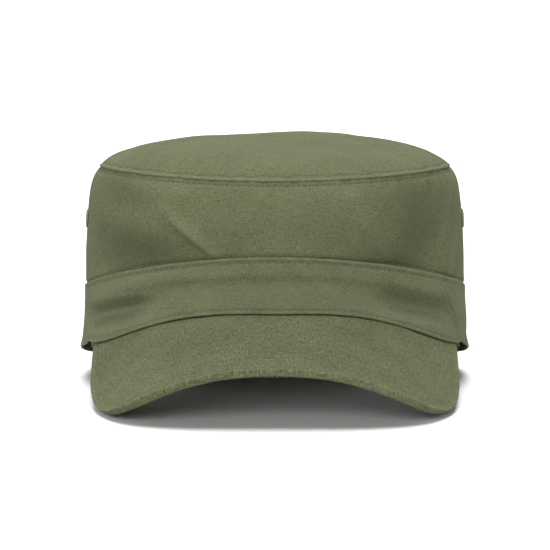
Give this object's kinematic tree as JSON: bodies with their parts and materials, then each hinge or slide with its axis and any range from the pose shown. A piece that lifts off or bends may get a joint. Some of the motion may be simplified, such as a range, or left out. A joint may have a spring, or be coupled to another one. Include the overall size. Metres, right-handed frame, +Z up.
{
  "type": "military peaked cap",
  "caption": "Soft olive field cap with a domed top, upright crown, headband, arched stiff visor, side air eyelets and a back strap with a lever buckle.",
  "frame": {"origin": "below the middle of the bounding box, on the surface that the two visor tips and the back of the band rest on", "axes": "+Z up, -Y the way the cap faces, +X the wearer's left"},
  "size_m": [0.1814, 0.263, 0.1155],
  "materials": {
    "canvas": "matte olive green cotton canvas",
    "sweatband_twill": "matte olive cotton twill",
    "binding_tape": "matte woven tape",
    "buckram": "stiff open-weave interlining",
    "visor_board": "flexible moulded board",
    "label": "blank satin label",
    "thread": "polyester sewing thread",
    "gunmetal": "dark gunmetal plating"
  },
  "bodies": {
    "cap": {"crown_top": "canvas", "crown_front": "canvas", "crown_rear_left": "canvas", "crown_rear_right": "canvas", "band_front": "canvas", "band_rear_left": "canvas", "band_rear_right": "canvas", "visor_top_cover": "canvas", "visor_under_cover": "canvas", "buckle_tab": "canvas", "sweatband": "sweatband_twill", "top_seam_tape": "binding_tape", "side_seam_tape_left": "binding_tape", "side_seam_tape_right": "binding_tape", "back_seam_tape": "binding_tape", "arch_binding": "binding_tape", "crown_interlining": "buckram", "visor_board": "visor_board", "size_label": "label", "care_label": "label", "bar_tack_left_lower": "thread", "bar_tack_left_upper": "thread", "bar_tack_right_lower": "thread", "bar_tack_right_upper": "thread", "buckle_frame": "gunmetal", "buckle_pin": "gunmetal", "eyelet_left_front": "gunmetal", "eyelet_left_rear": "gunmetal", "eyelet_right_front": "gunmetal", "eyelet_right_rear": "gunmetal", "eyelet_washer_left_front": "gunmetal", "eyelet_washer_left_rear": "gunmetal", "eyelet_washer_right_front": "gunmetal", "eyelet_washer_right_rear": "gunmetal"},
    "strap": {"closure_strap": "canvas"},
    "lever": {"buckle_lever": "gunmetal"}
  },
  "joints": [
    {"name": "strap_adjust", "type": "hinge", "parent": "cap", "child": "strap", "pos_m": [0, 0.0477, 0.014], "axis": [0, 0, -1], "range_deg": [-4, 10]},
    {"name": "buckle_lever_hinge", "type": "hinge", "parent": "cap", "child": "lever", "pos_m": [0.02163, 0.12809, 0.014], "axis": [0, 0, 1], "range_deg": [0, 100]}
  ]
}
